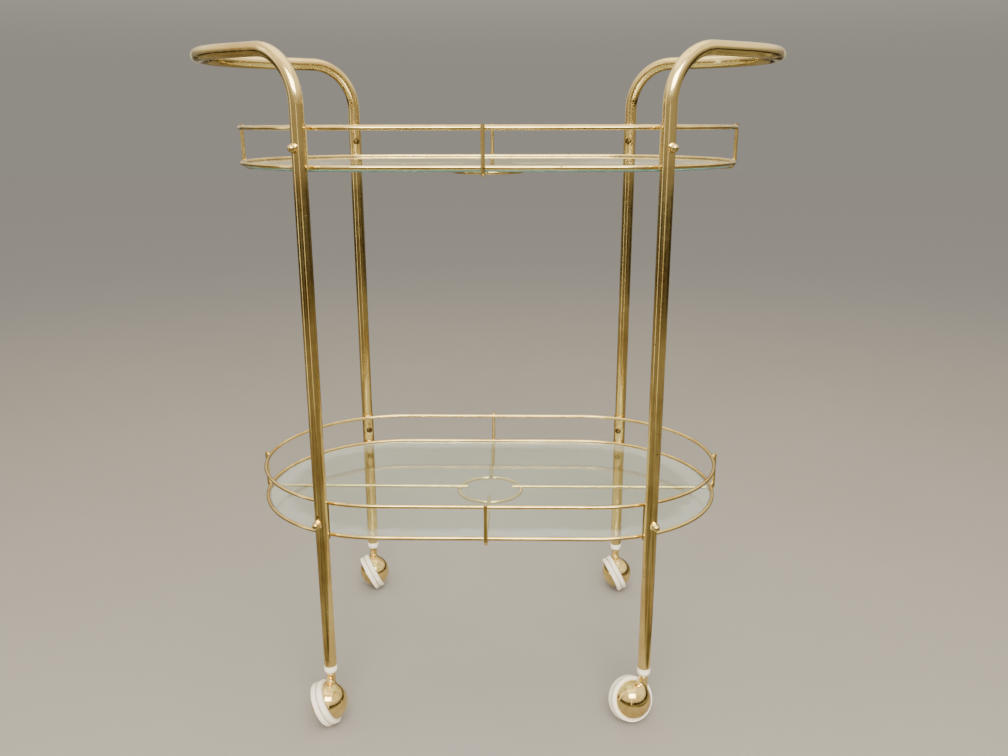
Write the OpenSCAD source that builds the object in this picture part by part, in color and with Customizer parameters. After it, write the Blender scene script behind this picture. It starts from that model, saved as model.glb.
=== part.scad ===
// Two-tier bar cart: bent tube side frames, oval wire trays with glass shelves, four ball casters.
// The origin is on the floor, midway between the four legs. X runs from side frame to side frame,
// the front is -Y and Z is up.

/* [Side frames] */
// Distance between the left and the right legs, centre to centre
leg_spacing = 394; // [340:1:440]
// Outside diameter of the frame tube
tube_d = 15.9; // [14:0.1:19]
// Wall thickness of the frame tube
tube_wall = 1.2; // [0.8:0.1:1.6]
// Height of the handle's centreline above the upper tray's ring
handle_rise = 123; // [118:1:260]
// How far the handle reaches out from the legs, centre to centre
handle_reach = 151; // [136:1:185]
// Angle by which the handle's arms turn in towards each other
handle_turn = 34; // [30:1:40]
// Centreline radius of the bends at the top of the legs
top_bend_r = 58; // [40:1:70]

/* [Trays] */
// Length of a tray's wire loops, centreline to centreline
tray_length = 606; // [580:1:680]
// Depth of a tray's wire loops, centreline to centreline
tray_depth = 345; // [320:1:400]
// Distance from a tray's lower ring up to its rail
tray_wall = 41; // [36:1:60]
// Height of the lower tray's ring above the floor
lower_tray_z = 248.5; // [200:0.5:350]
// Height of the upper tray's ring above the floor
upper_tray_z = 683.5; // [560:0.5:760]
// Diameter of the tray wires
wire_d = 4.8; // [4:0.1:6]
// Centreline radius of the turn from a support wire into its spindle
spindle_turn_r = 7.4; // [6:0.1:9]
// Diameter of the ring at the middle of a tray, on its centreline
centre_ring_d = 86; // [70:1:120]
// How far the left and right support wires reach inside the centre ring
side_wire_tip = 12; // [6:1:20]
// How far the front support wire reaches inside the centre ring
front_wire_tip = 9; // [6:1:22]
// How far the rear support wire reaches inside the centre ring
rear_wire_tip = 9; // [6:1:20]
// How far the spindles and the saddles stand out past the wires they cross
weld_tip = 1.6; // [1:0.1:3]
// Thickness of the glass shelves
glass_t = 4; // [3:0.5:6]
// Space left round a glass shelf inside its ring
glass_gap = 0.8; // [0.5:0.1:2]

/* [Tray fasteners] */
// Thickness of the curved saddle plates
saddle_t = 1.5; // [1:0.1:2.5]
// Angle of tube that a saddle plate covers
saddle_wrap = 118; // [90:1:150]
// Corner radius at the foot of a saddle plate
saddle_corner_r = 4.5; // [2:0.5:6]
// Shank diameter of the tray screws
screw_d = 4.8; // [4:0.1:5.5]
// Diameter of the screw holes in the tube and the saddles
screw_hole_d = 5.2; // [5.2:0.1:7]
// Head diameter of the tray screws
screw_head_d = 8.6; // [8:0.1:10]
// Head height of the tray screws
screw_head_h = 2.9; // [2:0.1:4]
// Width of the cap nuts across their flats
nut_flats = 9.5; // [8.5:0.1:12]
// Height of the cap nuts' hexagon
nut_hex_h = 4.2; // [3:0.1:6]
// Diameter of the spare hole above the left lower screws
spare_hole_d = 2.6; // [2:0.1:4]
// Height of the spare hole above the screw
spare_hole_rise = 9.5; // [8:0.5:12]

/* [Casters] */
// Outside diameter of the tread
tread_d = 55.5; // [54:0.5:57]
// Width of the tread
tread_w = 14.5; // [13:0.5:15]
// Diameter of the ball made by the hood and the wheel cap
ball_d = 49; // [47:0.2:49.6]
// How far the hood's own centre lies from the ball's centre, towards the tread
hood_inset = 3.6; // [0:0.1:4]
// Distance from the ball's centre to the middle of the tread, along the axle
tread_shift = 6.4; // [5.4:0.1:6.8]
// Tilt of the axle, rising towards the hood
axle_tilt = 25; // [22:1:30]
// Distance from the stem to the ball's centre
caster_trail = 14; // [13:0.5:16]
// Diameter of the hood's neck
neck_d = 11.2; // [10:0.1:12]
// Diameter of the stem
stem_d = 7.94; // [7:0.01:8]
// Running clearance round the stem and the axle, on the radius
running_gap = 0.05; // [0.02:0.01:0.1]
// Diameter of the ivory collar under each leg
collar_d = 16.4; // [16:0.1:20]
// Height of the ivory collar
collar_h = 9; // [6:0.5:9.5]
// Height of the hood's neck above the floor
neck_top_z = 62.5; // [61:0.5:66]

/* [Resting swivel angles] */
// Heading of the front left hood, measured from +X towards +Y
front_left_heading = 4; // [-180:1:180]
// Heading of the front right hood
front_right_heading = -67; // [-180:1:180]
// Heading of the rear left hood
rear_left_heading = 19; // [-180:1:180]
// Heading of the rear right hood
rear_right_heading = 12; // [-180:1:180]

/* [Hidden] */
$fn = 64;
// Computed places along the bent tube are rounded to this step
place_step = 0.01;
tube_r = tube_d / 2;
tube_inner_r = tube_r - tube_wall;
wire_r = wire_d / 2;
leg_x = leg_spacing / 2;
end_r = tray_depth / 2;
end_centre_x = tray_length / 2 - end_r;
leg_radius = end_r + wire_r + saddle_t + tube_r;
leg_dx = leg_x - end_centre_x;
leg_y = place_step * round(sqrt(leg_radius * leg_radius - leg_dx * leg_dx) / place_step);
handle_z = upper_tray_z + handle_rise;
hoop_share = (leg_y * cos(handle_turn) - handle_reach * sin(handle_turn)) / (1 - sin(handle_turn));
hoop_r = place_step * round(hoop_share / place_step);
arm_share = (leg_y - hoop_r * cos(handle_turn)) / sin(handle_turn);
arm_reach = place_step * round(arm_share / place_step);
tray_zs = [lower_tray_z, upper_tray_z];
screw_rise = tray_wall / 2;
head_dome_r = screw_head_d * 0.75;
slot_w = 1.2;
slot_depth = 1.1;
nut_dome_r = nut_flats / 2 - 0.35;
nut_bore_depth = nut_hex_h + 2;
glass_rest_gap = 0.2;

ball_r = ball_d / 2;
tread_r = tread_d / 2;
tread_near_s = tread_w / 2 - tread_shift;
tread_far_s = -tread_w / 2 - tread_shift;
tread_edge_r = 1.3;
tread_inner_r = tread_r - 5.5;
groove_w = 1.8;
groove_depth = 0.9;
tread_low_s = tread_w / 2 - tread_edge_r;
tread_drop = (tread_r - tread_edge_r) * cos(axle_tilt) + tread_low_s * sin(axle_tilt) + tread_edge_r;
ball_z = tread_drop + tread_shift * sin(axle_tilt);
hood_t = 1.8;
rim_gap = 0.6;
hub_r = 7;
hub_near_s = 8;
hub_far_s = tread_far_s - 2;
boss_r = 5.5;
boss_gap = 0.3;
axle_r = 3;
axle_head_r = 4.6;
axle_head_t = 1.8;
axle_seat_s = ball_r - hood_inset - hood_t - 2;
cap_t = 0.8;
cap_base_r = sqrt(ball_r * ball_r - tread_far_s * tread_far_s);
cap_skirt_r = cap_base_r - 0.4;
cap_skirt_depth = 4;
shoulder_r = 5.2;
shoulder_gap = 0.3;
leg_foot_z = neck_top_z + 11;
collar_foot_z = leg_foot_z - collar_h;
collar_foot_r = collar_d / 2 - 1.3;
sleeve_depth = 34;
stem_r = stem_d / 2;
stem_seat_depth = 11;
stem_top_z = leg_foot_z + sleeve_depth - 2;
grip_neck_r = stem_r - 0.7;
grip_neck_h = 3;
grip_bulb_h = 5;
bead_r = grip_neck_r + 0.25;
bead_h = 2;

// Each corner: name, side of X, side of Y, heading of its hood
CORNERS = [
    ["front_left", -1, -1, front_left_heading],
    ["front_right", 1, -1, front_right_heading],
    ["rear_left", -1, 1, rear_left_heading],
    ["rear_right", 1, 1, rear_right_heading]
];
// Each tray: name, height of its lower ring
TRAYS = [["lower", lower_tray_z], ["upper", upper_tray_z]];
SIDES = [["left", -1], ["right", 1]];
TRAY_PIECES = [
    "rail", "ring", "left_support_wire", "right_support_wire", "front_support_wire", "rear_support_wire",
    "centre_ring", "leg_saddles", "screws", "cap_nuts", "glass_shelf"
];
CASTER_PIECES = ["socket_sleeve", "stem", "hood", "axle", "wheel_core", "wheel_cap", "tread"];

// Puts its children at a leg, with local +X pointing straight away from the tray's rounded end
module at_leg(side_x, side_y) {
    translate([side_x * leg_x, side_y * leg_y, 0])
        rotate([0, 0, atan2(side_y * leg_y, side_x * leg_dx)])
            children();
}

// Wall of the frame tube, cut across
module tube_section() {
    difference() {
        circle(r = tube_r);
        circle(r = tube_inner_r);
    }
}

// Front leg, its top bend, the straight arm turned inwards and half of the hoop, for the right side
module half_side_tube() {
    intersection() {
        translate([leg_x, -leg_y, 0])
            rotate([0, 0, handle_turn])
                union() {
                    translate([0, 0, leg_foot_z])
                        linear_extrude(height = handle_z - top_bend_r - leg_foot_z)
                            tube_section();
                    translate([top_bend_r, 0, handle_z - top_bend_r])
                        rotate([90, 0, 0])
                            rotate([0, 0, 90])
                                rotate_extrude(angle = 90, $fn = 96)
                                    translate([top_bend_r, 0])
                                        tube_section();
                    translate([top_bend_r, 0, handle_z])
                        rotate([0, 90, 0])
                            linear_extrude(height = arm_reach - top_bend_r)
                                tube_section();
                    translate([arm_reach, hoop_r, handle_z])
                        rotate([0, 0, -90])
                            rotate_extrude(angle = 90, $fn = 128)
                                translate([hoop_r, 0])
                                    tube_section();
                }
        translate([0, -leg_spacing, 0])
            cube([2 * leg_spacing, leg_spacing, handle_z + tube_d]);
    }
}

// Front leg, handle hoop and rear leg of one side, bent from a single tube
module side_frame(side) {
    color("goldenrod")
        difference() {
            mirror([side < 0 ? 1 : 0, 0, 0]) {
                half_side_tube();
                mirror([0, 1, 0])
                    half_side_tube();
            }
            for (side_y = [-1, 1], tray_z = tray_zs)
                at_leg(side, side_y)
                    translate([0, 0, tray_z + screw_rise])
                        rotate([0, 90, 0])
                            cylinder(d = screw_hole_d, h = tube_d + 2, center = true);
            if (side < 0)
                for (side_y = [-1, 1])
                    at_leg(side, side_y)
                        translate([0, 0, lower_tray_z + screw_rise + spare_hole_rise])
                            rotate([0, 90, 0])
                                cylinder(d = spare_hole_d, h = tube_d + 2, center = true);
        }
}

// Wire loop in the shape of a stadium: two straight sides and two half circles
module wire_loop(z) {
    color("goldenrod")
        translate([0, 0, z]) {
            for (side = [-1, 1])
                translate([-end_centre_x, side * end_r, 0])
                    rotate([0, 90, 0])
                        cylinder(r = wire_r, h = 2 * end_centre_x);
            translate([end_centre_x, 0, 0])
                rotate([0, 0, -90])
                    rotate_extrude(angle = 180, $fn = 128)
                        translate([end_r, 0])
                            circle(r = wire_r);
            translate([-end_centre_x, 0, 0])
                rotate([0, 0, 90])
                    rotate_extrude(angle = 180, $fn = 128)
                        translate([end_r, 0])
                            circle(r = wire_r);
        }
}

// L-shaped wire: runs out under the lower ring, wraps up round it and crosses the rail as a spindle
module support_wire(z, reach, tip) {
    inner_end = centre_ring_d / 2 - tip;
    turn_x = reach + wire_d - spindle_turn_r;
    color("goldenrod") {
        translate([inner_end, 0, z - spindle_turn_r])
            rotate([0, 90, 0])
                cylinder(r = wire_r, h = turn_x - inner_end);
        translate([turn_x, 0, z])
            rotate([90, 0, 0])
                rotate([0, 0, -90])
                    rotate_extrude(angle = 90)
                        translate([spindle_turn_r, 0])
                            circle(r = wire_r);
        translate([turn_x + spindle_turn_r, 0, z])
            cylinder(r = wire_r, h = tray_wall + wire_r + weld_tip);
    }
}

// Ring under the inner ends of the four support wires
module centre_ring(z) {
    color("goldenrod")
        translate([0, 0, z - spindle_turn_r - wire_d])
            rotate_extrude($fn = 96)
                translate([centre_ring_d / 2, 0])
                    circle(r = wire_r);
}

// Curved plate that sits on a leg's inner face and carries the rail and the ring
module leg_saddle(z, has_spare_hole) {
    foot = z - wire_r - weld_tip;
    height = tray_wall + wire_d + 2 * weld_tip;
    plate_r = tube_r + saddle_t;
    half_w = plate_r * sin(saddle_wrap / 2);
    corner_y = half_w - saddle_corner_r;
    difference() {
        translate([0, 0, foot])
            rotate([0, 0, 180 - saddle_wrap / 2])
                rotate_extrude(angle = saddle_wrap)
                    translate([tube_r, 0])
                        square([saddle_t, height]);
        for (side = [-1, 1])
            translate([-tube_d, side * corner_y, foot + saddle_corner_r])
                rotate([0, 90, 0])
                    linear_extrude(height = tube_d)
                        difference() {
                            translate([0, side > 0 ? 0 : -2 * saddle_corner_r])
                                square([2 * saddle_corner_r, 2 * saddle_corner_r]);
                            circle(r = saddle_corner_r);
                        }
        translate([-tube_d, 0, z + screw_rise])
            rotate([0, 90, 0])
                cylinder(d = screw_hole_d, h = tube_d);
        if (has_spare_hole)
            translate([-tube_d, 0, z + screw_rise + spare_hole_rise])
                rotate([0, 90, 0])
                    cylinder(d = spare_hole_d, h = tube_d);
    }
}

module leg_saddles(z) {
    color("darkgoldenrod")
        for (side_x = [-1, 1], side_y = [-1, 1])
            at_leg(side_x, side_y)
                leg_saddle(z, side_x < 0 && z == lower_tray_z);
}

// Pan-head screw: the slotted head bears on the saddle and the shank ends inside the cap nut
module tray_screw() {
    seat_x = -tube_r - saddle_t;
    translate([seat_x, 0, 0])
        rotate([0, 90, 0])
            cylinder(d = screw_d, h = -seat_x + tube_r + nut_bore_depth - 0.5);
    difference() {
        intersection() {
            translate([seat_x - screw_head_h, 0, 0])
                rotate([0, 90, 0])
                    cylinder(d = screw_head_d, h = screw_head_h);
            translate([seat_x - screw_head_h + head_dome_r, 0, 0])
                sphere(r = head_dome_r);
        }
        translate([seat_x - screw_head_h - 1, -slot_w / 2, -screw_head_d])
            cube([1 + slot_depth, slot_w, 2 * screw_head_d]);
    }
}

module tray_screws(z) {
    color("gold")
        for (side_x = [-1, 1], side_y = [-1, 1])
            at_leg(side_x, side_y)
                translate([0, 0, z + screw_rise])
                    tray_screw();
}

// Cap nut: a hexagon with a domed end, bored blind for the screw
module cap_nut() {
    translate([tube_r, 0, 0])
        rotate([0, 90, 0])
            difference() {
                union() {
                    cylinder(d = nut_flats / cos(30), h = nut_hex_h, $fn = 6);
                    translate([0, 0, nut_hex_h])
                        cylinder(r = nut_dome_r, h = 1);
                    translate([0, 0, nut_hex_h + 1])
                        intersection() {
                            sphere(r = nut_dome_r);
                            translate([0, 0, nut_dome_r / 2])
                                cube([2 * nut_flats, 2 * nut_flats, nut_dome_r], center = true);
                        }
                }
                translate([0, 0, -1])
                    cylinder(d = screw_d, h = nut_bore_depth + 1);
            }
}

module cap_nuts(z) {
    color("gold")
        for (side_x = [-1, 1], side_y = [-1, 1])
            at_leg(side_x, side_y)
                translate([0, 0, z + screw_rise])
                    cap_nut();
}

// Stadium of clear glass lying on the four support wires, just inside the ring
module glass_shelf(z) {
    glass_r = end_r - wire_r - glass_gap;
    color("lightcyan", 0.35)
        translate([0, 0, z - spindle_turn_r + wire_r + glass_rest_gap])
            linear_extrude(height = glass_t) {
                translate([-end_centre_x, -glass_r])
                    square([2 * end_centre_x, 2 * glass_r]);
                for (side = [-1, 1])
                    translate([side * end_centre_x, 0])
                        circle(r = glass_r, $fn = 128);
            }
}

// Puts its children at a corner's stem, with local +X along the hood's heading
module at_stem(corner) {
    translate([corner[1] * leg_x, corner[2] * leg_y, 0])
        rotate([0, 0, corner[3]])
            children();
}

// Puts its children at a corner's ball, with local +Z along the axle towards the hood
module at_ball(corner) {
    at_stem(corner)
        translate([0, -caster_trail, ball_z])
            rotate([0, 90 - axle_tilt, 0])
                children();
}

// Puts its children at the centre of a corner's hood, with local +Z along the axle
module at_hood(corner) {
    at_ball(corner)
        translate([0, 0, -hood_inset])
            children();
}

// Ivory insert pressed into the leg, with a flared collar under it and a bead that keeps the stem in
module socket_sleeve(corner) {
    color("ivory")
        translate([corner[1] * leg_x, corner[2] * leg_y, 0])
            rotate_extrude()
                difference() {
                    polygon([
                        [0, collar_foot_z], [collar_foot_r, collar_foot_z],
                        [collar_d / 2, collar_foot_z + 3], [collar_d / 2, leg_foot_z],
                        [tube_inner_r, leg_foot_z], [tube_inner_r, leg_foot_z + sleeve_depth - 1.5],
                        [tube_inner_r - 1, leg_foot_z + sleeve_depth], [0, leg_foot_z + sleeve_depth]
                    ]);
                    translate([0, collar_foot_z - 1])
                        square([bead_r, leg_foot_z + sleeve_depth]);
                    translate([0, collar_foot_z - 1])
                        square([stem_r + running_gap, grip_z() - collar_foot_z + 1]);
                    translate([0, grip_z() + bead_h])
                        square([stem_r + running_gap, sleeve_depth]);
                }
}

// Height of the bead inside the sleeve
function grip_z() = stem_top_z - grip_bulb_h - grip_neck_h / 2 - bead_h / 2;

// Steel stem pressed into the hood's neck: shoulder under the collar, grip neck and bulb at the top
module stem(corner) {
    seat_z = neck_top_z - stem_seat_depth;
    shoulder_top_z = collar_foot_z - shoulder_gap;
    color("dimgray")
        translate([corner[1] * leg_x, corner[2] * leg_y, 0])
            rotate_extrude()
                polygon([
                    [0, seat_z], [stem_r - 0.6, seat_z], [stem_r, seat_z + 0.6], [stem_r, neck_top_z],
                    [shoulder_r, neck_top_z], [shoulder_r, shoulder_top_z], [stem_r, shoulder_top_z],
                    [stem_r, stem_top_z - grip_bulb_h - grip_neck_h],
                    [grip_neck_r, stem_top_z - grip_bulb_h - grip_neck_h],
                    [grip_neck_r, stem_top_z - grip_bulb_h], [stem_r, stem_top_z - grip_bulb_h],
                    [stem_r, stem_top_z - 2], [stem_r - 1.6, stem_top_z], [0, stem_top_z]
                ]);
}

// Hollow half ball with the axle boss inside and the neck for the stem on top
module hood(corner) {
    color("goldenrod")
        difference() {
            union() {
                at_hood(corner)
                    difference() {
                        sphere(r = ball_r, $fn = 96);
                        sphere(r = ball_r - hood_t, $fn = 96);
                    }
                at_hood(corner)
                    intersection() {
                        translate([0, 0, hub_near_s + boss_gap + hood_inset])
                            cylinder(r = boss_r, h = ball_r);
                        sphere(r = ball_r - hood_t / 2, $fn = 96);
                    }
                difference() {
                    at_stem(corner)
                        translate([0, 0, ball_z + neck_d / 2])
                            cylinder(d = neck_d, h = neck_top_z - ball_z - neck_d / 2);
                    at_hood(corner)
                        sphere(r = ball_r - hood_t / 2, $fn = 96);
                }
            }
            at_ball(corner)
                translate([0, 0, tread_near_s + rim_gap - tread_d])
                    cylinder(r = tread_d, h = tread_d);
            at_ball(corner)
                cylinder(r = axle_r, h = axle_seat_s);
            at_stem(corner)
                translate([0, 0, neck_top_z - stem_seat_depth])
                    cylinder(r = stem_r, h = stem_seat_depth + 1);
        }
}

// Headed pin pressed into the hood's boss
module axle(corner) {
    head_s = hub_far_s - boss_gap;
    color("silver")
        at_ball(corner) {
            translate([0, 0, head_s])
                cylinder(r = axle_r, h = axle_seat_s - head_s);
            translate([0, 0, head_s - axle_head_t])
                cylinder(r = axle_head_r, h = axle_head_t);
        }
}

// Hub, web and rim that carry the tread and the cap
module wheel_core(corner) {
    web_near_s = tread_near_s - 1;
    web_far_s = tread_far_s + cap_skirt_depth + 0.5;
    color("lightgray")
        at_ball(corner)
            rotate_extrude($fn = 96)
                difference() {
                    union() {
                        translate([cap_skirt_r, tread_far_s])
                            square([tread_inner_r - cap_skirt_r, tread_w]);
                        translate([0, web_far_s])
                            square([cap_skirt_r, web_near_s - web_far_s]);
                        translate([0, hub_far_s])
                            square([hub_r, hub_near_s - hub_far_s]);
                    }
                    translate([0, hub_far_s - 1])
                        square([axle_r + running_gap, hub_near_s - hub_far_s + 2]);
                }
}

// Thin brass dome with a skirt pressed into the wheel core
module wheel_cap(corner) {
    color("goldenrod")
        at_ball(corner) {
            intersection() {
                difference() {
                    sphere(r = ball_r, $fn = 96);
                    sphere(r = ball_r - cap_t, $fn = 96);
                }
                translate([0, 0, tread_far_s - ball_r])
                    cylinder(r = ball_r, h = ball_r);
            }
            translate([0, 0, tread_far_s - cap_t])
                difference() {
                    cylinder(r = cap_skirt_r, h = cap_skirt_depth + cap_t);
                    translate([0, 0, -1])
                        cylinder(r = cap_skirt_r - cap_t, h = cap_skirt_depth + cap_t + 2);
                }
        }
}

// Ivory ring round the wheel core: rounded shoulders and one groove round its middle
module tread(corner) {
    flat_r = tread_r - tread_edge_r;
    color("ivory")
        at_ball(corner)
            translate([0, 0, tread_far_s])
                rotate_extrude($fn = 128)
                    difference() {
                        union() {
                            translate([tread_inner_r, 0])
                                square([flat_r - tread_inner_r, tread_w]);
                            translate([tread_inner_r, tread_edge_r])
                                square([tread_r - tread_inner_r, tread_w - 2 * tread_edge_r]);
                            for (edge = [tread_edge_r, tread_w - tread_edge_r])
                                translate([flat_r, edge])
                                    circle(r = tread_edge_r);
                        }
                        translate([tread_r - groove_depth, tread_w / 2 - groove_w / 2])
                            square([groove_depth + 1, groove_w]);
                    }
}

side_frame(-1);  // left_side_frame
side_frame(1);  // right_side_frame
for (tray = TRAYS) {
    wire_loop(tray[1] + tray_wall);
    wire_loop(tray[1]);
    rotate([0, 0, 180]) support_wire(tray[1], end_centre_x + end_r, side_wire_tip);
    support_wire(tray[1], end_centre_x + end_r, side_wire_tip);
    rotate([0, 0, -90]) support_wire(tray[1], end_r, front_wire_tip);
    rotate([0, 0, 90]) support_wire(tray[1], end_r, rear_wire_tip);
    centre_ring(tray[1]);
    leg_saddles(tray[1]);
    tray_screws(tray[1]);
    cap_nuts(tray[1]);
    glass_shelf(tray[1]);
}
for (corner = CORNERS) {
    socket_sleeve(corner);
    stem(corner);
    hood(corner);
    axle(corner);
    wheel_core(corner);
    wheel_cap(corner);
    tread(corner);
}
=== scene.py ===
import math

import bmesh
import bpy
from mathutils import Matrix, Vector, noise


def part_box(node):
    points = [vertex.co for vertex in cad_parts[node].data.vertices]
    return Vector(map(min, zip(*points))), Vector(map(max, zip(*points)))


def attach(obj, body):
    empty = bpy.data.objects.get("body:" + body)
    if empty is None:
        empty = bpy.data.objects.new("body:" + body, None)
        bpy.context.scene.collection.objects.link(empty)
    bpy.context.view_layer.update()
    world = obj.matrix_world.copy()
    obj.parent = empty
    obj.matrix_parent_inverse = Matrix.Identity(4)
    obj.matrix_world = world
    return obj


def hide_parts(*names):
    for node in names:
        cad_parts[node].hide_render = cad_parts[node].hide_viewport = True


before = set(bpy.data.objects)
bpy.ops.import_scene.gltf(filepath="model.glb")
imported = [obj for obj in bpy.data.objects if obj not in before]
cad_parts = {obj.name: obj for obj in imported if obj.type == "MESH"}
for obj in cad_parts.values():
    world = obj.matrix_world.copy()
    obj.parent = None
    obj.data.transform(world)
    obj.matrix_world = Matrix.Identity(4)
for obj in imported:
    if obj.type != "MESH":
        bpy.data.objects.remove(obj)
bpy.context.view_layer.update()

# Side frames: one length of 16 mm mild steel tube a side, bent cold into front leg, handle and rear
# leg, then polished and plated with nickel and a thin coat of brass under lacquer. The solids carry
# the shape. Age shows as brown haze, worn lacquer and black pinholes, most of them near the floor.
mm = 0.001
brass_clean = "#F3D88C"
brass_aged = "#CCA963"
brass_pinhole = "#2E2214"
haze_starts, haze_full = 0.42, 0.72
smear_size = 7 * mm
smear_dulling = 0.09
smear_relief = 0.004
pinhole_edge, pinhole_core = 0.30, 0.16
pinhole_depth = 0.12
pinhole_roughness = 0.8


def colour(hex_text):
    channels = [int(hex_text[i : i + 2], 16) / 255 for i in (1, 3, 5)]
    return [c / 12.92 if c <= 0.04045 else ((c + 0.055) / 1.055) ** 2.4 for c in channels] + [1]


def add(tree, kind, inputs, **settings):
    node = tree.nodes.new(kind)
    for name, value in settings.items():
        setattr(node, name, value)
    for name, value in inputs.items():
        if isinstance(value, bpy.types.NodeSocket):
            tree.links.new(value, node.inputs[name])
        else:
            node.inputs[name].default_value = value
    return node


def new_finish(name):
    finish = bpy.data.materials.new(name)
    finish.use_nodes = True
    tree = finish.node_tree
    tree.nodes.clear()
    surface = add(tree, "ShaderNodeOutputMaterial", {})
    where = add(tree, "ShaderNodeTexCoord", {}).outputs["Object"]
    return finish, tree, surface, where


# Polished brass plate: sharp warm mirror, cloudy with brown haze, and pinholes where steel rusts through.
# low_wear is the height under which pinholes come thick.
def brass_plate(name, gloss, haze_size, pinhole_spacing, pinhole_share, low_wear):
    finish, tree, surface, where = new_finish(name)
    haze = add(tree, "ShaderNodeTexNoise", {
        "Vector": where, "Scale": 1 / haze_size, "Detail": 5.0, "Roughness": 0.6})
    cloud = add(tree, "ShaderNodeMapRange", {
        "Value": haze.outputs["Fac"], "From Min": haze_starts, "From Max": haze_full})
    smear = add(tree, "ShaderNodeTexNoise", {
        "Vector": where, "Scale": 1 / smear_size, "Detail": 4.0, "Roughness": 0.65})
    cells = add(tree, "ShaderNodeTexVoronoi", {
        "Vector": where, "Scale": 1 / pinhole_spacing, "Randomness": 1.0})
    luck = add(tree, "ShaderNodeSeparateColor", {"Color": cells.outputs["Color"]})
    height = add(tree, "ShaderNodeSeparateXYZ", {"Vector": where})
    low = add(tree, "ShaderNodeMapRange", {
        "Value": height.outputs["Z"], "From Min": low_wear, "From Max": 0.3 * low_wear,
        "To Min": pinhole_share, "To Max": min(1.0, 5 * pinhole_share)})
    chosen = add(tree, "ShaderNodeMath", {
        0: luck.outputs["Red"], 1: low.outputs["Result"]}, operation="LESS_THAN")
    spot = add(tree, "ShaderNodeMapRange", {
        "Value": cells.outputs["Distance"], "From Min": pinhole_edge, "From Max": pinhole_core})
    pinhole = add(tree, "ShaderNodeMath", {
        0: chosen.outputs[0], 1: spot.outputs["Result"]}, operation="MULTIPLY")
    plate = add(tree, "ShaderNodeMix", {
        "Factor": cloud.outputs["Result"], "A": colour(brass_clean), "B": colour(brass_aged)},
        data_type="RGBA")
    skin = add(tree, "ShaderNodeMix", {
        "Factor": pinhole.outputs[0], "A": plate.outputs["Result"], "B": colour(brass_pinhole)},
        data_type="RGBA")
    dull = add(tree, "ShaderNodeMapRange", {
        "Value": smear.outputs["Fac"], "From Min": 0.35, "From Max": 0.75,
        "To Min": gloss, "To Max": gloss + smear_dulling})
    rough = add(tree, "ShaderNodeMix", {
        "Factor": pinhole.outputs[0], "A": dull.outputs["Result"], "B": pinhole_roughness})
    sunk = add(tree, "ShaderNodeMath", {0: pinhole.outputs[0], 1: -pinhole_depth}, operation="MULTIPLY")
    relief = add(tree, "ShaderNodeMath", {
        0: smear.outputs["Fac"], 1: smear_relief, 2: sunk.outputs[0]}, operation="MULTIPLY_ADD")
    bump = add(tree, "ShaderNodeBump", {"Height": relief.outputs[0], "Strength": 1.0, "Distance": mm})
    shader = add(tree, "ShaderNodeBsdfPrincipled", {
        "Base Color": skin.outputs["Result"], "Metallic": 1.0, "Roughness": rough.outputs["Result"],
        "Coat Weight": 0.15, "Coat Roughness": 0.05, "Normal": bump.outputs["Normal"]})
    tree.links.new(shader.outputs["BSDF"], surface.inputs["Surface"])
    return finish


def dress(names, finish):
    for name in names:
        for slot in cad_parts[name].material_slots:
            slot.material = finish


tube_plate = brass_plate(
    "steel_tube_polished_brass_plate", gloss=0.11, haze_size=70 * mm, pinhole_spacing=4 * mm,
    pinhole_share=0.02, low_wear=190 * mm)
dress(["left_side_frame", "right_side_frame"], tube_plate)

# Tray wires: rail, ring, four bent support wires and a centre ring for each tray, of 4.8 mm drawn
# steel wire brazed where they cross, then plated with the rest. The brazing leaves a soft bead in
# each crossing, a little duller and browner than the wire.
wire_radius = 2.4 * mm
bead_radius = 3.1 * mm
bead_thickness = 1.9 * mm
bead_lumps = 0.10
bead_lump_pitch = 1.7
crossing_gap = 1.2 * mm
leg_bead_stretch = 1.5
trays = ["lower", "upper"]
corners = ["front_left", "front_right", "rear_left", "rear_right"]
wire_plate = brass_plate(
    "drawn_wire_polished_brass_plate", gloss=0.14, haze_size=45 * mm, pinhole_spacing=3 * mm,
    pinhole_share=0.035, low_wear=300 * mm)
bead_plate = brass_plate(
    "brazed_bead_satin_brass_plate", gloss=0.26, haze_size=9 * mm, pinhole_spacing=2 * mm,
    pinhole_share=0.08, low_wear=300 * mm)
for tray in trays:
    dress([f"{tray}_{part}" for part in (
        "rail", "ring", "left_support_wire", "right_support_wire", "front_support_wire",
        "rear_support_wire", "centre_ring")], wire_plate)


# Joins a shape's doubles, turns its faces outwards, keeps real corners crisp and gives it its finish
# and body.
def make_piece(name, shape, finish, body, corner_angle=40):
    bmesh.ops.remove_doubles(shape, verts=shape.verts, dist=0.002 * mm)
    bmesh.ops.recalc_face_normals(shape, faces=shape.faces)
    for face in shape.faces:
        face.smooth = True
    for edge in shape.edges:
        edge.smooth = not edge.is_manifold or edge.calc_face_angle() < math.radians(corner_angle)
    mesh = bpy.data.meshes.new(name)
    shape.to_mesh(mesh)
    shape.free()
    mesh.materials.append(finish)
    piece = bpy.data.objects.new(name, mesh)
    bpy.context.scene.collection.objects.link(piece)
    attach(piece, body)
    return piece


# One bead of brazing: a ball pressed flat between the wires, turned to face away from the tray's middle.
# Its place shifts the noise, so no two beads have the same lumps.
def braze_bead(shape, place, facing, along, upright):
    turn = Matrix.Translation(place) @ Matrix.Rotation(facing, 4, "Z")
    size = Matrix.Diagonal((bead_thickness, along, upright, 1))
    made = bmesh.ops.create_icosphere(shape, subdivisions=3, radius=1)
    for vert in made["verts"]:
        lump = 1 + bead_lumps * noise.noise(vert.co * bead_lump_pitch + 200 * place)
        vert.co = turn @ size @ (vert.co * lump)


def middle(name):
    low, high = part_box(name)
    return (Vector(low) + Vector(high)) / 2


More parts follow.
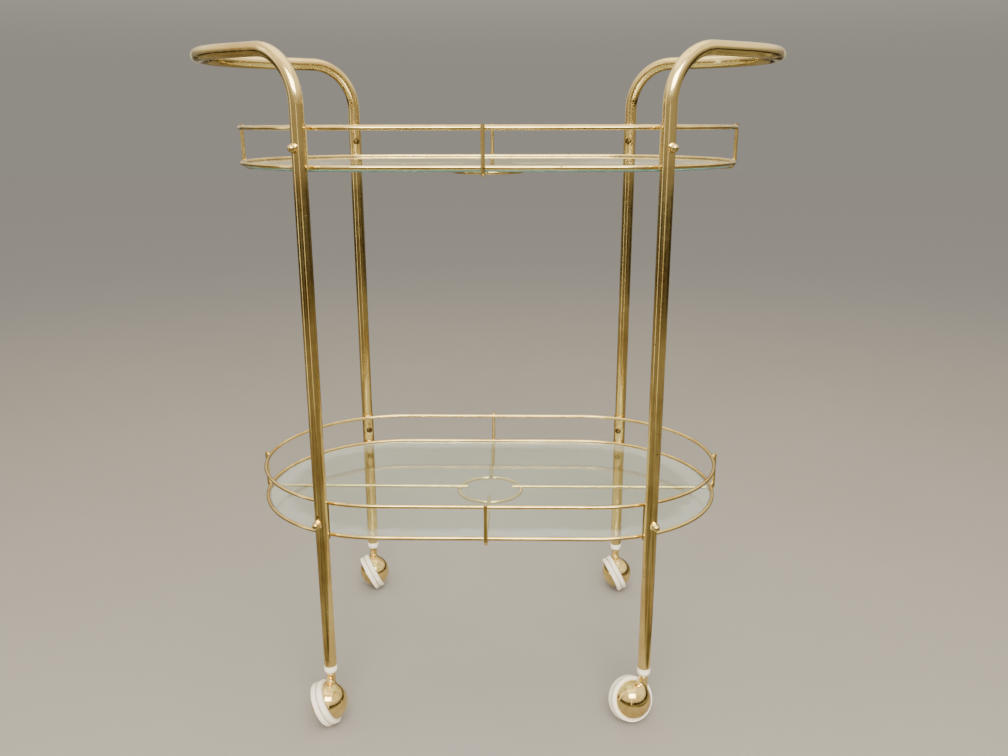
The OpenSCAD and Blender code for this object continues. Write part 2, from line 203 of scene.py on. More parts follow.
for tray in trays:
    ring_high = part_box(f"{tray}_ring")[1]
    reach_x = ring_high[0] - wire_radius
    reach_y = ring_high[1] - wire_radius
    end_x = reach_x - reach_y
    wire_heights = (middle(f"{tray}_ring").z, middle(f"{tray}_rail").z)
    centre_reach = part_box(f"{tray}_centre_ring")[1][0] - wire_radius
    centre_z = middle(f"{tray}_centre_ring").z + wire_radius
    beads = bmesh.new()
    for step in range(4):
        facing = step * math.pi / 2
        reach = (reach_x, reach_y)[step % 2] + wire_radius
        out = Vector((math.cos(facing), math.sin(facing), 0))
        for z in wire_heights:
            braze_bead(beads, out * reach + Vector((0, 0, z)), facing, bead_radius, bead_radius)
        crossing = out * centre_reach + Vector((0, 0, centre_z))
        for side in (-1, 1):
            across = Vector((-out.y, out.x, 0)) * side * crossing_gap
            braze_bead(beads, crossing + across, facing, bead_radius, bead_thickness)
    for corner in corners:
        leg = middle(f"{corner}_socket_sleeve")
        end = Vector((math.copysign(end_x, leg.x), 0, 0))
        away = Vector((leg.x, leg.y, 0)) - end
        facing = math.atan2(away.y, away.x)
        touch = end + away.normalized() * (reach_y + wire_radius)
        for z in wire_heights:
            braze_bead(beads, touch + Vector((0, 0, z)), facing, leg_bead_stretch * bead_radius, bead_radius)
    make_piece(f"{tray}_brazed_beads", beads, bead_plate, "frame")

# Saddles: curved strips of 1.5 mm steel, brazed to rail and ring, that hug the inside of each leg.
# Pressed, tumbled and plated, so their face is softer and cloudier than the tube's.
saddle_plate = brass_plate(
    "pressed_strap_satin_brass_plate", gloss=0.17, haze_size=22 * mm, pinhole_spacing=3 * mm,
    pinhole_share=0.03, low_wear=300 * mm)
dress([f"{tray}_leg_saddles" for tray in trays], saddle_plate)

# Tray screws: pan-head machine screws from inside the tray through saddle and leg. Their heads were
# never polished, and the thin plate on them has gone brown and dull.
rust_size = 2.5 * mm
browned_steel, tree, surface, where = new_finish("steel_screw_head_browned")
rust = add(tree, "ShaderNodeTexNoise", {"Vector": where, "Scale": 1 / rust_size, "Detail": 4.0})
rust_tone = add(tree, "ShaderNodeMix", {
    "Factor": rust.outputs["Fac"], "A": colour("#7A6234"), "B": colour("#2A2013")}, data_type="RGBA")
rust_shine = add(tree, "ShaderNodeMapRange", {"Value": rust.outputs["Fac"], "To Min": 0.2, "To Max": 0.5})
browned = add(tree, "ShaderNodeBsdfPrincipled", {
    "Base Color": rust_tone.outputs["Result"], "Metallic": 1.0, "Roughness": rust_shine.outputs["Result"]})
tree.links.new(browned.outputs["BSDF"], surface.inputs["Surface"])
dress([f"{tray}_screws" for tray in trays], browned_steel)

# Cap nuts: brass plated acorn nuts that draw the screws up on the outside of the legs. Stamped and
# turned: six flats with their top corners turned off, a short neck and a round dome that shines
# like a bead.
tube_radius = 7.95 * mm
nut_flats = 9.5 * mm
nut_height = 4.2 * mm
nut_neck = 1 * mm
nut_top_drop = 0.15 * mm
nut_corner_slope = 0.6
nut_top_inset = 0.1 * mm
nut_sides = 60
dome_radius = 4.4 * mm
dome_steps = 10
fastener_plate = brass_plate(
    "turned_fastener_bright_brass_plate", gloss=0.09, haze_size=12 * mm, pinhole_spacing=2.5 * mm,
    pinhole_share=0.04, low_wear=300 * mm)


def ring_verts(edges):
    return list({vert for edge in edges for vert in edge.verts})


def pull_ring(shape, edges):
    made = bmesh.ops.extrude_edge_only(shape, edges=edges)["geom"]
    return [part for part in made if isinstance(part, bmesh.types.BMEdge) and part.is_boundary]


def hexagon_reach(vert):
    turn = math.atan2(vert.co.y, vert.co.x) % (math.pi / 3) - math.pi / 6
    return nut_flats / 2 / math.cos(turn)


def set_ring(edges, radius, z):
    for vert in ring_verts(edges):
        flat = Vector((vert.co.x, vert.co.y, 0)).normalized()
        vert.co = flat * radius + Vector((0, 0, z))


# A nut grows upwards from its foot, one ring of points at a time, and is then moved to its place.
def cap_nut(shape, place):
    start = len(shape.verts)
    bmesh.ops.create_circle(shape, cap_ends=True, segments=nut_sides, radius=nut_flats / 2)
    shape.verts.ensure_lookup_table()
    edges = list({edge for vert in shape.verts[start:] for edge in vert.link_edges})
    for vert in ring_verts(edges):
        vert.co = vert.co.normalized() * hexagon_reach(vert)
    edges = pull_ring(shape, edges)
    for vert in ring_verts(edges):
        corner = hexagon_reach(vert) - nut_flats / 2
        vert.co.z = nut_height - nut_top_drop - nut_corner_slope * corner
    edges = pull_ring(shape, edges)
    set_ring(edges, nut_flats / 2 - nut_top_inset, nut_height)
    edges = pull_ring(shape, edges)
    set_ring(edges, dome_radius, nut_height)
    dome_foot = nut_height + nut_neck
    for step in range(dome_steps):
        edges = pull_ring(shape, edges)
        rise = step * math.pi / 2 / dome_steps
        set_ring(edges, dome_radius * math.cos(rise), dome_foot + dome_radius * math.sin(rise))
    edges = pull_ring(shape, edges)
    for vert in ring_verts(edges):
        vert.co = Vector((0, 0, dome_foot + dome_radius))
    shape.verts.ensure_lookup_table()
    bmesh.ops.transform(shape, matrix=place, verts=shape.verts[start:])


for tray in trays:
    ring_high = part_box(f"{tray}_ring")[1]
    end_x = ring_high[0] - ring_high[1]
    screw_z = middle(f"{tray}_screws").z
    nuts = bmesh.new()
    for corner in corners:
        leg = middle(f"{corner}_socket_sleeve")
        facing = math.atan2(leg.y, leg.x - math.copysign(end_x, leg.x))
        place = (
            Matrix.Translation((leg.x, leg.y, screw_z)) @ Matrix.Rotation(facing, 4, "Z")
            @ Matrix.Translation((tube_radius, 0, 0)) @ Matrix.Rotation(math.pi / 2, 4, "Y"))
        cap_nut(nuts, place)
    piece = make_piece(
        f"{tray}_acorn_nuts", nuts, fastener_plate, "frame", corner_angle=28)
    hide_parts(f"{tray}_cap_nuts")

# Shelves: 4 mm float glass cut to the tray's oval, with its edge ground and its arrises taken off.
# Clear across the face, bottle green through the edge, with smears and flecks of dust, and a thin
# cream film round the rim that the duster misses. It lies loose on the support wires.
arris = 0.6 * mm
hair = 0.01 * mm
smear_patch = 60 * mm
dust_grain = 3 * mm
film_width = 30 * mm
film_edge = 12 * mm
film_most = 0.06
crumb_size = 22 * mm
crumb_sway = 60 * mm
fleck_spacing = 11 * mm
fleck_share = 0.14
fleck_most = 0.7
float_glass, tree, surface, where = new_finish("float_glass_ground_edge")
smears = add(tree, "ShaderNodeTexNoise", {
    "Vector": where, "Scale": 1 / smear_patch, "Detail": 6.0, "Roughness": 0.7, "Distortion": 1.5})
smear_haze = add(tree, "ShaderNodeMapRange", {
    "Value": smears.outputs["Fac"], "From Min": 0.5, "From Max": 0.8, "To Min": 0.0, "To Max": 0.12})
dust = add(tree, "ShaderNodeTexNoise", {"Vector": where, "Scale": 1 / dust_grain, "Detail": 3.0})
dust_veil = add(tree, "ShaderNodeMapRange", {
    "Value": dust.outputs["Fac"], "From Min": 0.62, "From Max": 0.75, "To Min": 0.0, "To Max": 0.05})
veil = add(tree, "ShaderNodeMath", {
    0: smear_haze.outputs["Result"], 1: dust_veil.outputs["Result"]}, operation="ADD")

# How far a point lies from the straight line between the middles of the pane's two round ends gives
# how near it is to the rim.
pane_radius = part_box("lower_glass_shelf")[1][1]
pane_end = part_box("lower_glass_shelf")[1][0] - pane_radius
point = add(tree, "ShaderNodeSeparateXYZ", {"Vector": where})
off_middle = add(tree, "ShaderNodeMath", {0: point.outputs["X"]}, operation="ABSOLUTE")
past_end = add(tree, "ShaderNodeMath", {
    0: off_middle.outputs[0], 1: pane_end}, operation="SUBTRACT", use_clamp=True)
from_spine = add(tree, "ShaderNodeCombineXYZ", {"X": past_end.outputs[0], "Y": point.outputs["Y"]})
rim_reach = add(tree, "ShaderNodeVectorMath", {0: from_spine.outputs["Vector"]}, operation="LENGTH")
crumbs = add(tree, "ShaderNodeTexNoise", {
    "Vector": where, "Scale": 1 / crumb_size, "Detail": 8.0, "Roughness": 0.75})
ragged = add(tree, "ShaderNodeMath", {
    0: crumbs.outputs["Fac"], 1: crumb_sway, 2: rim_reach.outputs["Value"]}, operation="MULTIPLY_ADD")
film_start = pane_radius + crumb_sway / 2 - film_width
rim_film = add(tree, "ShaderNodeMapRange", {
    "Value": ragged.outputs[0], "From Min": film_start, "From Max": film_start + film_edge,
    "To Max": film_most})
fleck_cells = add(tree, "ShaderNodeTexVoronoi", {
    "Vector": where, "Scale": 1 / fleck_spacing, "Randomness": 1.0})
fleck_luck = add(tree, "ShaderNodeSeparateColor", {"Color": fleck_cells.outputs["Color"]})
few = add(tree, "ShaderNodeMath", {0: fleck_luck.outputs["Red"], 1: fleck_share}, operation="LESS_THAN")
fleck = add(tree, "ShaderNodeMapRange", {
    "Value": fleck_cells.outputs["Distance"], "From Min": 0.09, "From Max": 0.05, "To Max": fleck_most})
flecks = add(tree, "ShaderNodeMath", {0: few.outputs[0], 1: fleck.outputs["Result"]}, operation="MULTIPLY")
film = add(tree, "ShaderNodeMath", {
    0: rim_film.outputs["Result"], 1: flecks.outputs[0]}, operation="MAXIMUM")
clear = add(tree, "ShaderNodeMath", {0: 1.0, 1: film.outputs[0]}, operation="SUBTRACT")
dulled = add(tree, "ShaderNodeMath", {
    0: film.outputs[0], 1: 0.4, 2: veil.outputs[0]}, operation="MULTIPLY_ADD")
glass_tone = add(tree, "ShaderNodeMix", {
    "Factor": film.outputs[0], "A": colour("#F2FAF5"), "B": colour("#F6EBCF")}, data_type="RGBA")
glass_shader = add(tree, "ShaderNodeBsdfPrincipled", {
    "Base Color": glass_tone.outputs["Result"], "Roughness": dulled.outputs[0], "IOR": 1.52,
    "Transmission Weight": clear.outputs[0]})
green = add(tree, "ShaderNodeVolumeAbsorption", {"Color": colour("#7FEAD5"), "Density": 5.0})
tree.links.new(glass_shader.outputs["BSDF"], surface.inputs["Surface"])
tree.links.new(green.outputs["Volume"], surface.inputs["Volume"])

for tray in trays:
    low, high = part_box(f"{tray}_glass_shelf")
    end_radius = high[1]
    end_x = high[0] - end_radius
    pane = bmesh.new()
    bmesh.ops.create_circle(pane, segments=192, radius=end_radius)
    bmesh.ops.delete(pane, geom=[v for v in pane.verts if v.co.x < -hair], context="VERTS")
    bmesh.ops.translate(pane, vec=(end_x, 0, low[2]), verts=pane.verts)
    bmesh.ops.mirror(pane, geom=pane.verts[:] + pane.edges[:], axis="X", merge_dist=0)
    for side in (-1, 1):
        ends = [v for v in pane.verts if abs(abs(v.co.x) - end_x) < hair and v.co.y * side > 0]
        pane.edges.new(ends)
    face = bmesh.ops.contextual_create(pane, geom=pane.edges[:])["faces"]
    lifted = bmesh.ops.extrude_face_region(pane, geom=face)["geom"]
    bmesh.ops.translate(
        pane, vec=(0, 0, high[2] - low[2]), verts=[p for p in lifted if isinstance(p, bmesh.types.BMVert)])
    rims = [e for e in pane.edges if abs(e.verts[0].co.z - e.verts[1].co.z) < hair]
    bmesh.ops.bevel(pane, geom=rims, offset=arris, segments=2, profile=0.5, affect="EDGES", material=-1)
    piece = make_piece(
        f"{tray}_glass_pane", pane, float_glass, f"{tray}_glass", corner_angle=15)
    piece.visible_shadow = False
    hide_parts(f"{tray}_glass_shelf")

# Leg ends: an ivory nylon sleeve driven into each tube, whose flared collar is all that shows. It is
# moulded, so its skin is waxy with a fine grain, and a little yellowed.
yellow_patch = 11 * mm
mould_grain = 0.9 * mm
ivory_nylon, tree, surface, where = new_finish("ivory_nylon_moulded")
yellowing = add(tree, "ShaderNodeTexNoise", {
    "Vector": where, "Scale": 1 / yellow_patch, "Detail": 5.0, "Roughness": 0.6})
ivory = add(tree, "ShaderNodeMix", {
    "Factor": yellowing.outputs["Fac"], "A": colour("#FCF4E2"), "B": colour("#EEE1C6")}, data_type="RGBA")
moulding = add(tree, "ShaderNodeTexNoise", {"Vector": where, "Scale": 1 / mould_grain, "Detail": 2.0})
grain = add(tree, "ShaderNodeBump", {
    "Height": moulding.outputs["Fac"], "Strength": 0.3, "Distance": 0.05 * mm})
nylon = add(tree, "ShaderNodeBsdfPrincipled", {
    "Base Color": ivory.outputs["Result"], "Roughness": 0.42, "Subsurface Weight": 0.2,
    "Subsurface Radius": (1.2 * mm, 0.9 * mm, 0.6 * mm), "Subsurface Scale": 1.0,
    "Normal": grain.outputs["Normal"]})
tree.links.new(nylon.outputs["BSDF"], surface.inputs["Surface"])
dress([f"{corner}_socket_sleeve" for corner in corners], ivory_nylon)

# Stems and axles: plain turned steel pins, the stem clicked up into the sleeve and the axle pressed
# into the hood. They were never plated, only oiled, so they are grey and brown with old oil.
oil_patch = 4 * mm
oiled_steel, tree, surface, where = new_finish("plain_steel_turned_oiled")
oil = add(tree, "ShaderNodeTexNoise", {"Vector": where, "Scale": 1 / oil_patch, "Detail": 4.0})
steel_tone = add(tree, "ShaderNodeMix", {
    "Factor": oil.outputs["Fac"], "A": colour("#6E675C"), "B": colour("#3A342C")}, data_type="RGBA")
steel_shine = add(tree, "ShaderNodeMapRange", {"Value": oil.outputs["Fac"], "To Min": 0.3, "To Max": 0.55})
steel = add(tree, "ShaderNodeBsdfPrincipled", {
    "Base Color": steel_tone.outputs["Result"], "Metallic": 1.0, "Roughness": steel_shine.outputs["Result"]})
tree.links.new(steel.outputs["BSDF"], surface.inputs["Surface"])
dress([f"{corner}_{part}" for corner in corners for part in ("stem", "axle")], oiled_steel)

# Caster hoods: die-cast half balls with an axle boss inside and a round neck that runs into the ball
# in a soft fillet. Polished hard and plated, they are the brightest pieces on the cart.
ball_radius = 24.5 * mm
hood_wall = 1.8 * mm
hood_inset = 3.6 * mm
hood_rim = 5.05 * mm
rim_round = 0.25 * mm
rim_round_degrees = 0.7
boss_near = 11.9 * mm
boss_far = 22.9 * mm
boss_radius = 5.5 * mm
axle_radius = 3 * mm
axle_tilt = math.radians(25)
axle_line = Vector((math.cos(axle_tilt), 0, math.sin(axle_tilt)))
caster_trail = 14 * mm
tread_shift = 6.4 * mm
neck_radius = 5.6 * mm
neck_top = 62.5 * mm
neck_chamfer = 0.5 * mm
neck_rows = 16
fillet_up = 4.5 * mm
fillet_out = 5.5 * mm
rim_margin = 0.3 * mm
skin_overlap = 0.03 * mm
headings = {"front_left": 4, "front_right": -67, "rear_left": 19, "rear_right": 12}
hood_plate = brass_plate(
    "die_casting_bright_brass_plate", gloss=0.09, haze_size=16 * mm, pinhole_spacing=3 * mm,
    pinhole_share=0.015, low_wear=40 * mm)


def stem_place(corner):
    leg = middle(f"{corner}_socket_sleeve")
    return Matrix.Translation((leg.x, leg.y, 0)) @ Matrix.Rotation(math.radians(headings[corner]), 4, "Z")


def axle_height(corner):
    return middle(f"{corner}_tread").z + tread_shift * math.sin(axle_tilt)


def axle_place(corner):
    ball = Matrix.Translation((0, -caster_trail, axle_height(corner)))
    return stem_place(corner) @ ball @ Matrix.Rotation(math.pi / 2 - axle_tilt, 4, "Y")


# The middle of a hood's ball, seen from the foot of its stem. It lies a little nearer the tread than
# the wheel's.
def hood_middle(corner):
    return Vector((0, -caster_trail, axle_height(corner))) - axle_line * hood_inset


# Turns a closed outline, given as (radius, height) pairs, right round the Z axis.
def turn_outline(shape, outline, steps):
    verts = [shape.verts.new((radius, 0, height)) for radius, height in outline]
    edges = [shape.edges.new((verts[i - 1], verts[i])) for i in range(len(verts))]
    bmesh.ops.spin(
        shape, geom=verts + edges, cent=(0, 0, 0), axis=(0, 0, 1), angle=2 * math.pi, steps=steps,
        use_merge=True)
    bmesh.ops.remove_doubles(shape, verts=shape.verts, dist=0.002 * mm)


# Points on an arc, as (radius, height) pairs. Its angles start at straight up and turn outwards.
def arc(radius, start, end, steps, centre=(0, 0)):
    turns = [math.radians(start + (end - start) * i / steps) for i in range(steps + 1)]
    return [(centre[0] + radius * math.sin(turn), centre[1] + radius * math.cos(turn)) for turn in turns]


# A point of the neck: straight down from under the collar, then out into the ball in a fillet that
# runs further down on the side away from the ball's middle, and stops short of the ball's open rim.
def neck_point(ball, turn, row):
    out = Vector((math.cos(turn), math.sin(turn), 0))
    up = Vector((0, 0, 1))
    if row == 0:
        return out * (neck_radius - neck_chamfer) + up * neck_top
    wall = out * neck_radius
    if row == 1:
        return wall + up * (neck_top - neck_chamfer)
    across = wall - Vector((ball.x, ball.y, 0))
    meet = wall + up * (ball.z + math.sqrt(ball_radius**2 - across.length_squared))
    normal = (meet - ball).normalized()
    down = (out * normal.z - up * normal.dot(out)).normalized()
    to_rim = (meet - ball).dot(axle_line) - hood_rim - rim_margin
    run = min(fillet_out, to_rim / max(-down.dot(axle_line), 0.01))
    landing = (meet + down * run - ball).normalized() * (ball_radius - skin_overlap)
    if row == neck_rows:
        return ball + landing * (1 - hood_wall / 2 / ball_radius)
    share = (row - 2) / (neck_rows - 3)
    top = (meet + up * fillet_up) * (1 - share) ** 2
    return top + meet * 2 * share * (1 - share) + (ball + landing) * share**2


outer_end = math.degrees(math.acos(hood_rim / ball_radius))
inner_radius = ball_radius - hood_wall
inner_end = math.degrees(math.acos(hood_rim / inner_radius))
rim_radius = ball_radius * math.sin(math.radians(outer_end))
shell = arc(ball_radius, 0, outer_end - rim_round_degrees, 44) + [(rim_radius - rim_round, hood_rim)]
shell += arc(inner_radius, inner_end, 0, 24)
boss = [
    (axle_radius, boss_near), (boss_radius, boss_near), (boss_radius, boss_far), (axle_radius, boss_far)]
for corner in corners:
    hood = bmesh.new()
    turn_outline(hood, shell, 96)
    turn_outline(hood, boss, 32)
    hood_place = axle_place(corner) @ Matrix.Translation((0, 0, -hood_inset))
    bmesh.ops.transform(hood, matrix=hood_place, verts=hood.verts)
    # The neck starts as a plain tube with its rows at whole heights, which neck_point then shapes.
    neck = bmesh.new()
    rows = [neck.verts.new((1, 0, row)) for row in range(neck_rows + 1)]
    edges = [neck.edges.new(rows[row : row + 2]) for row in range(neck_rows)]
    bmesh.ops.spin(
        neck, geom=rows + edges, cent=(0, 0, 0), axis=(0, 0, 1), angle=2 * math.pi, steps=72,
        use_merge=True)
    bmesh.ops.remove_doubles(neck, verts=neck.verts, dist=0.001)
    bmesh.ops.holes_fill(neck, edges=[edge for edge in neck.edges if edge.is_boundary])
    ball = hood_middle(corner)
    for vert in neck.verts:
        vert.co = neck_point(ball, math.atan2(vert.co.y, vert.co.x), round(vert.co.z))
    bmesh.ops.transform(neck, matrix=stem_place(corner), verts=neck.verts)
    neck_mesh = bpy.data.meshes.new(f"{corner}_neck")
    neck.to_mesh(neck_mesh)
    neck.free()
    hood.from_mesh(neck_mesh)
    bpy.data.meshes.remove(neck_mesh)
    piece = make_piece(
        f"{corner}_hood_casting", hood, hood_plate, f"{corner}_swivel")
    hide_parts(f"{corner}_hood")

# Wheel caps and cores: a pressed brass dome on the far side of each wheel completes the ball. Its
# edge is pressed into a core moulded in dark grey nylon, which hardly shows.
wheel_plate = brass_plate(
    "pressed_dome_bright_brass_plate", gloss=0.07, haze_size=14 * mm, pinhole_spacing=3 * mm,
    pinhole_share=0.02, low_wear=40 * mm)
dress([f"{corner}_wheel_cap" for corner in corners], wheel_plate)

core_mottle = 5 * mm
grey_nylon, tree, surface, where = new_finish("grey_nylon_moulded")
mottle = add(tree, "ShaderNodeTexNoise", {"Vector": where, "Scale": 1 / core_mottle, "Detail": 4.0})
core_tone = add(tree, "ShaderNodeMix", {
    "Factor": mottle.outputs["Fac"], "A": colour("#5C5953"), "B": colour("#3D3A35")}, data_type="RGBA")
core_surface = add(tree, "ShaderNodeBsdfPrincipled", {
    "Base Color": core_tone.outputs["Result"], "Roughness": 0.5})
tree.links.new(core_surface.outputs["BSDF"], surface.inputs["Surface"])
dress([f"{corner}_wheel_core" for corner in corners], grey_nylon)

# Treads: an ivory band of hard plastic moulded round each core. It has round shoulders and one
# groove, grey with floor dirt, and light scuffs where it runs.
tread_radius = 27.75 * mm
tread_width = 14.5 * mm
tread_depth = 5.5 * mm
shoulder = 1.3 * mm
groove_half = 0.9 * mm
groove_depth = 0.9 * mm
groove_lip = 0.35 * mm
aging_patch = 14 * mm
scuff_size = 3.5 * mm
ivory_tread, tree, surface, where = new_finish("ivory_hard_tread_scuffed")
aging = add(tree, "ShaderNodeTexNoise", {
    "Vector": where, "Scale": 1 / aging_patch, "Detail": 5.0, "Roughness": 0.6})
band_tone = add(tree, "ShaderNodeMix", {
    "Factor": aging.outputs["Fac"], "A": colour("#FAF1DE"), "B": colour("#E8DABC")}, data_type="RGBA")
scuffs = add(tree, "ShaderNodeTexNoise", {
    "Vector": where, "Scale": 1 / scuff_size, "Detail": 6.0, "Roughness": 0.75, "Distortion": 0.8})
scuffed = add(tree, "ShaderNodeMapRange", {
    "Value": scuffs.outputs["Fac"], "From Min": 0.54, "From Max": 0.74, "To Min": 0.0, "To Max": 0.35})
in_groove = add(tree, "ShaderNodeAttribute", {}, attribute_name="groove")
dirt = add(tree, "ShaderNodeMath", {
    0: in_groove.outputs["Fac"], 1: 0.6, 2: scuffed.outputs["Result"]},
    operation="MULTIPLY_ADD", use_clamp=True)
dirty_tone = add(tree, "ShaderNodeMix", {
    "Factor": dirt.outputs[0], "A": band_tone.outputs["Result"], "B": colour("#6B6152")}, data_type="RGBA")
band_grain = add(tree, "ShaderNodeBump", {
    "Height": scuffs.outputs["Fac"], "Strength": 0.35, "Distance": 0.1 * mm})
band_shader = add(tree, "ShaderNodeBsdfPrincipled", {
    "Base Color": dirty_tone.outputs["Result"], "Roughness": 0.48, "Subsurface Weight": 0.12,
    "Subsurface Radius": (1.0 * mm, 0.8 * mm, 0.5 * mm), "Subsurface Scale": 1.0,
    "Normal": band_grain.outputs["Normal"]})
tree.links.new(band_shader.outputs["BSDF"], surface.inputs["Surface"])

half = tread_width / 2
outline = [(tread_radius - tread_depth, half), (tread_radius - tread_depth, -half)]
outline += arc(shoulder, 180, 90, 6, (tread_radius - shoulder, shoulder - half))
outline += arc(groove_lip, 90, 0, 4, (tread_radius - groove_lip, -groove_half - groove_lip))
outline += [(tread_radius - groove_depth, -groove_half), (tread_radius - groove_depth, groove_half)]
outline += arc(groove_lip, 180, 90, 4, (tread_radius - groove_lip, groove_half + groove_lip))
outline += arc(shoulder, 90, 0, 6, (tread_radius - shoulder, half - shoulder))
for corner in corners:
    band = bmesh.new()
    turn_outline(band, outline, 128)
    groove = band.verts.layers.float.new("groove")
    for vert in band.verts:
        deep = tread_radius - math.hypot(vert.co.x, vert.co.y)
        near = abs(vert.co.z) < groove_half + groove_lip
        vert[groove] = min(1, deep / groove_depth) if near else 0
    band_place = axle_place(corner) @ Matrix.Translation((0, 0, -tread_shift))
    bmesh.ops.transform(band, matrix=band_place, verts=band.verts)
    piece = make_piece(f"{corner}_tread_band", band, ivory_tread, f"{corner}_wheel")
    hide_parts(f"{corner}_tread")

# Studio floor: plain and pale, with no gloss of its own. It turns to the grey of the room's wall as
# it goes back, so that no edge shows behind the cart.
floor_half = 12
pale_floor, tree, surface, where = new_finish("pale_studio_floor")
floor_wash = add(tree, "ShaderNodeTexNoise", {
    "Vector": where, "Scale": 1.5, "Detail": 6.0, "Roughness": 0.6})
near_tone = add(tree, "ShaderNodeMix", {
    "Factor": floor_wash.outputs["Fac"], "A": colour("#948F87"), "B": colour("#8A857D")}, data_type="RGBA")
distance = add(tree, "ShaderNodeVectorMath", {0: where}, operation="LENGTH")
far_share = add(tree, "ShaderNodeMapRange", {
    "Value": distance.outputs["Value"], "From Min": 0.6, "From Max": 4.0},
    interpolation_type="SMOOTHSTEP")
floor_colour = add(tree, "ShaderNodeMix", {
    "Factor": far_share.outputs["Result"], "A": near_tone.outputs["Result"], "B": colour("#7F7F7F")},
    data_type="RGBA")
floor_shader = add(tree, "ShaderNodeBsdfPrincipled", {
    "Base Color": floor_colour.outputs["Result"], "Roughness": 0.75, "Specular IOR Level": 0.0})
tree.links.new(floor_shader.outputs["BSDF"], surface.inputs["Surface"])


def stage_object(name, shape, finish):
    mesh = bpy.data.meshes.new(name)
    shape.to_mesh(mesh)
    shape.free()
    mesh.materials.append(finish)
    staged = bpy.data.objects.new(name, mesh)
    bpy.context.scene.collection.objects.link(staged)
    return staged


slab = bmesh.new()
bmesh.ops.create_grid(slab, x_segments=8, y_segments=8, size=floor_half)
stage_object("studio_floor", slab, pale_floor)

# Reflection cards: only the polished metal and the glass mirror them. They stand round the floor and
# lie on it, so that the plate shows a dark skyline, a brown floor below and a cream patch at the
# back, as polished brass does in a real room.
card_radius = 2.6
skyline_height = 0.5
floor_card_hole = 0.38
floor_card_lift = 1 * mm
back_card_place = (0, 1.7, 1.05)
back_card_half_width, back_card_half_height = 1.6, 0.33


def reflection_card(name, shape, dark, light, streak):
    card_tone, tree, surface, where = new_finish(name)
    stretch = add(tree, "ShaderNodeMapping", {"Vector": where, "Scale": streak})
    streaks = add(tree, "ShaderNodeTexNoise", {
        "Vector": stretch.outputs["Vector"], "Scale": 1.0, "Detail": 3.0})
    tone = add(tree, "ShaderNodeMapRange", {
        "Value": streaks.outputs["Fac"], "From Min": 0.4, "From Max": 0.62})
    shade = add(tree, "ShaderNodeMix", {
        "Factor": tone.outputs["Result"], "A": colour(dark), "B": colour(light)}, data_type="RGBA")
    glow = add(tree, "ShaderNodeEmission", {"Color": shade.outputs["Result"]})
    tree.links.new(glow.outputs["Emission"], surface.inputs["Surface"])
    card = stage_object(name, shape, card_tone)
    for kind in ("camera", "diffuse", "transmission", "volume_scatter", "shadow"):
        setattr(card, f"visible_{kind}", False)


skyline = bmesh.new()
bmesh.ops.create_circle(skyline, segments=96, radius=card_radius)
made = bmesh.ops.extrude_edge_only(skyline, edges=skyline.edges[:])["geom"]
lifted = [part for part in made if isinstance(part, bmesh.types.BMVert)]
bmesh.ops.translate(skyline, vec=(0, 0, skyline_height), verts=lifted)
reflection_card("dark_skyline_card", skyline, "#211D15", "#827B6B", (3, 3, 0.3))
ground = bmesh.new()
for radius in (card_radius, floor_card_hole):
    bmesh.ops.create_circle(ground, segments=96, radius=radius)
bmesh.ops.bridge_loops(ground, edges=ground.edges[:])
bmesh.ops.translate(ground, vec=(0, 0, floor_card_lift), verts=ground.verts)
reflection_card("brown_floor_card", ground, "#5C553F", "#BAB097", (6, 2, 1))
back = bmesh.new()
bmesh.ops.create_grid(back, x_segments=1, y_segments=1, size=1)
back_size = Matrix.Diagonal((back_card_half_width, back_card_half_height, 1, 1))
back_place = Matrix.Translation(back_card_place) @ Matrix.Rotation(math.pi / 2, 4, "X") @ back_size
bmesh.ops.transform(back, matrix=back_place, verts=back.verts)
reflection_card("cream_back_card", back, "#D6C9A4", "#FFF3D2", (1.2, 1, 3))


# Lights: a wide soft one overhead, a window high behind the camera with a low fill under it, and
# narrow standing strips in front and on the left, which draw the bright lines down the tubes.
def soft_light(name, place, aim, width, height, watts, tint, mirrored=True):
    lamp = bpy.data.lights.new(name, "AREA")
    lamp.shape = "RECTANGLE"
    lamp.size = width
    lamp.size_y = height
    lamp.energy = watts
    lamp.color = colour(tint)[:3]
    light = bpy.data.objects.new(name, lamp)
    light.location = place
    light.rotation_euler = (Vector(aim) - Vector(place)).to_track_quat("-Z", "Y").to_euler()
    light.visible_camera = False
    light.visible_glossy = mirrored
    bpy.context.scene.collection.objects.link(light)


soft_light("overhead", (0, 0.1, 2.5), (0, 0.1, 0), 2.2, 2.2, 20, "#FFF6E6")
soft_light("high_window", (0.15, -1.6, 1.75), (0.1, 0, 0.2), 1.5, 0.9, 60, "#FFFFFF")
soft_light("low_fill", (0.1, -1.7, 0.45), (0, 0, 0.3), 0.9, 0.5, 32, "#FFF7EC", mirrored=False)
soft_light("front_strip", (0.04, -1.4, 0.42), (0, 0, 0.42), 0.14, 0.84, 0.5, "#FFF4E0")
soft_light("left_strip", (-1.3, -0.4, 0.8), (0, 0, 0.8), 0.16, 1.6, 1.4, "#FFFFFF")

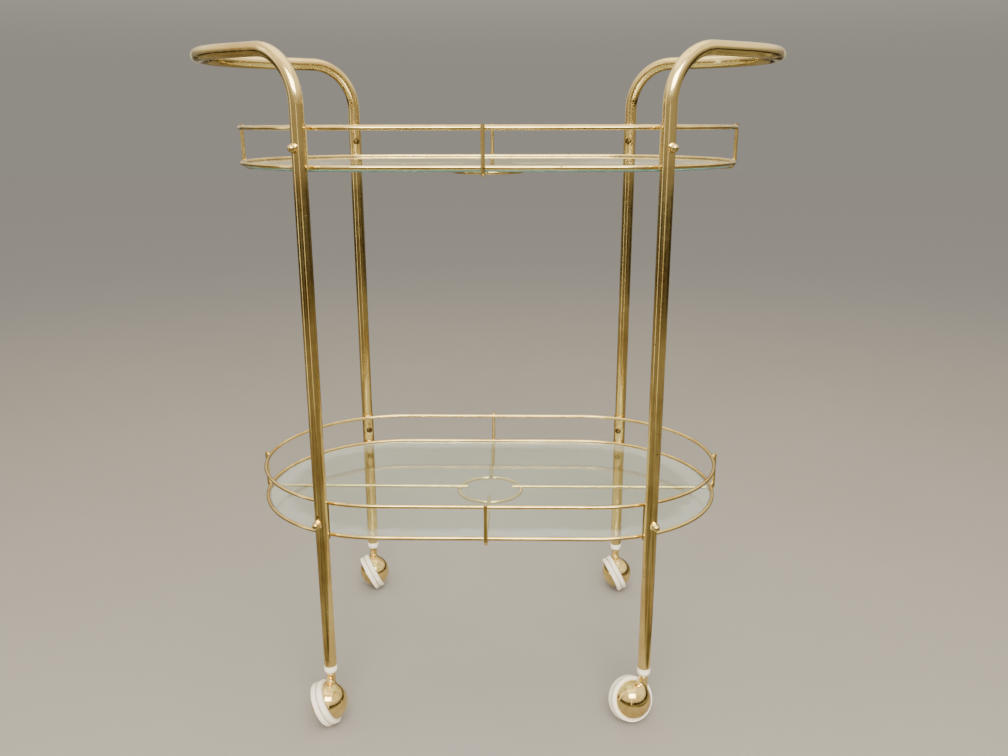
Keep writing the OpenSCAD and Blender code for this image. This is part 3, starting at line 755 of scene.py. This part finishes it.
# Room: plain grey walls all round that brighten upwards into a warm white ceiling. They are what
# stands behind the floor in the picture.
room_light = 1.5
room = bpy.data.worlds.new("soft_room")
room.use_nodes = True
tree = room.node_tree
compass = add(tree, "ShaderNodeTexCoord", {}).outputs["Generated"]
direction = add(tree, "ShaderNodeSeparateXYZ", {"Vector": compass})
ahead_share = add(tree, "ShaderNodeMapRange", {
    "Value": direction.outputs["Y"], "From Min": -0.5, "From Max": 0.7})
walls = add(tree, "ShaderNodeMix", {
    "Factor": ahead_share.outputs["Result"], "A": colour("#8F8778"), "B": colour("#7B7770")},
    data_type="RGBA")
rise = add(tree, "ShaderNodeMapRange", {
    "Value": direction.outputs["Z"], "From Min": 0.05, "From Max": 0.5}, interpolation_type="SMOOTHSTEP")
sky = add(tree, "ShaderNodeMix", {
    "Factor": rise.outputs["Result"], "A": walls.outputs["Result"], "B": colour("#FFF6E4")},
    data_type="RGBA")
tree.links.new(sky.outputs["Result"], tree.nodes["Background"].inputs["Color"])
tree.nodes["Background"].inputs["Strength"].default_value = room_light
bpy.context.scene.world = room

# Camera: where the photograph was taken from, a little above the upper tray and just right of the
# middle, looking down by about sixteen degrees.
focal_pixels = 899.9
picture_width = 1008
sensor_width = 36
camera_place = Vector((0.03875, -1.16006, 0.73121))
yaw, pitch, roll = -0.01674, 0.27782, -0.00144
ahead = Vector((math.sin(yaw), math.cos(yaw), 0))
right = Vector((math.cos(yaw), -math.sin(yaw), 0))
up = Vector((0, 0, 1))
forward = ahead * math.cos(pitch) - up * math.sin(pitch)
above = up * math.cos(pitch) + ahead * math.sin(pitch)
level_right = right * math.cos(roll) + above * math.sin(roll)
level_up = above * math.cos(roll) - right * math.sin(roll)
lens = bpy.data.cameras.new("photo_camera")
lens.sensor_fit = "HORIZONTAL"
lens.sensor_width = sensor_width
lens.lens = sensor_width * focal_pixels / picture_width
lens.clip_start = 0.05
lens.clip_end = 50
camera = bpy.data.objects.new("photo_camera", lens)
turned = Matrix((level_right, level_up, -forward)).transposed().to_4x4()
camera.matrix_world = Matrix.Translation(camera_place) @ turned
bpy.context.scene.collection.objects.link(camera)
bpy.context.scene.camera = camera
